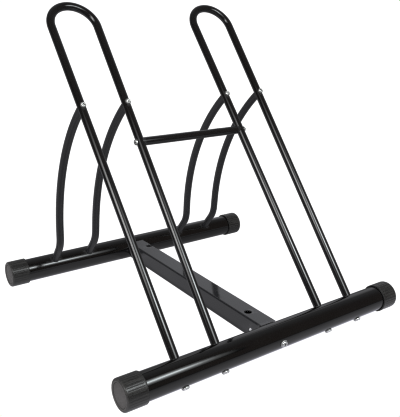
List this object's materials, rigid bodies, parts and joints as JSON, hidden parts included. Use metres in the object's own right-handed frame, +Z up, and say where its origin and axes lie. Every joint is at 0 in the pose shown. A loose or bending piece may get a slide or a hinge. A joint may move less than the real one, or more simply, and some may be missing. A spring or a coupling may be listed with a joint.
{
  "type": "bicycle floor rack",
  "caption": "Floor rack for bicycles: inverted-U hoops lean back from a front base tube onto curved rear legs; a square bar joins the tubes and a crossbar the hoops.",
  "frame": {"origin": "on the floor, under the middle of the rack", "axes": "+X along the base tubes, +Y from the front base tube, which carries the hoops, to the rear one, +Z up"},
  "size_m": [0.665, 0.5994, 0.6185],
  "materials": {
    "base_tube_paint": "gloss black paint on round steel tube",
    "hoop_paint": "gloss black paint on thin round steel tube",
    "bar_paint": "satin-gloss black paint on square steel tube",
    "cap_plastic": "moulded black plastic with fine ribs",
    "zinc_steel": "bright zinc-plated steel",
    "plug_steel": "plain turned steel"
  },
  "bodies": {
    "root": {"barrel_nut_front": "zinc_steel", "barrel_nut_rear": "zinc_steel", "base_tube_front": "base_tube_paint", "base_tube_rear": "base_tube_paint", "centre_bar": "bar_paint", "centre_bar_screw_front": "zinc_steel", "centre_bar_screw_rear": "zinc_steel", "crossbar": "hoop_paint", "crossbar_plug_left": "plug_steel", "crossbar_plug_right": "plug_steel", "crossbar_screw_left": "zinc_steel", "crossbar_screw_right": "zinc_steel", "end_cap_front_left": "cap_plastic", "end_cap_front_right": "cap_plastic", "end_cap_rear_left": "cap_plastic", "end_cap_rear_right": "cap_plastic", "hoop_foot_plug_left_inner": "plug_steel", "hoop_foot_plug_left_outer": "plug_steel", "hoop_foot_plug_right_inner": "plug_steel", "hoop_foot_plug_right_outer": "plug_steel", "hoop_foot_screw_left_inner": "zinc_steel", "hoop_foot_screw_left_outer": "zinc_steel", "hoop_foot_screw_right_inner": "zinc_steel", "hoop_foot_screw_right_outer": "zinc_steel", "hoop_left": "hoop_paint", "hoop_right": "hoop_paint", "joint_plug_left_inner": "plug_steel", "joint_plug_left_outer": "plug_steel", "joint_plug_right_inner": "plug_steel", "joint_plug_right_outer": "plug_steel", "joint_screw_left_inner": "zinc_steel", "joint_screw_left_outer": "zinc_steel", "joint_screw_right_inner": "zinc_steel", "joint_screw_right_outer": "zinc_steel", "rear_leg_foot_plug_left_inner": "plug_steel", "rear_leg_foot_plug_left_outer": "plug_steel", "rear_leg_foot_plug_right_inner": "plug_steel", "rear_leg_foot_plug_right_outer": "plug_steel", "rear_leg_foot_screw_left_inner": "zinc_steel", "rear_leg_foot_screw_left_outer": "zinc_steel", "rear_leg_foot_screw_right_inner": "zinc_steel", "rear_leg_foot_screw_right_outer": "zinc_steel", "rear_leg_left_inner": "hoop_paint", "rear_leg_left_outer": "hoop_paint", "rear_leg_right_inner": "hoop_paint", "rear_leg_right_outer": "hoop_paint"}
  },
  "joints": []
}
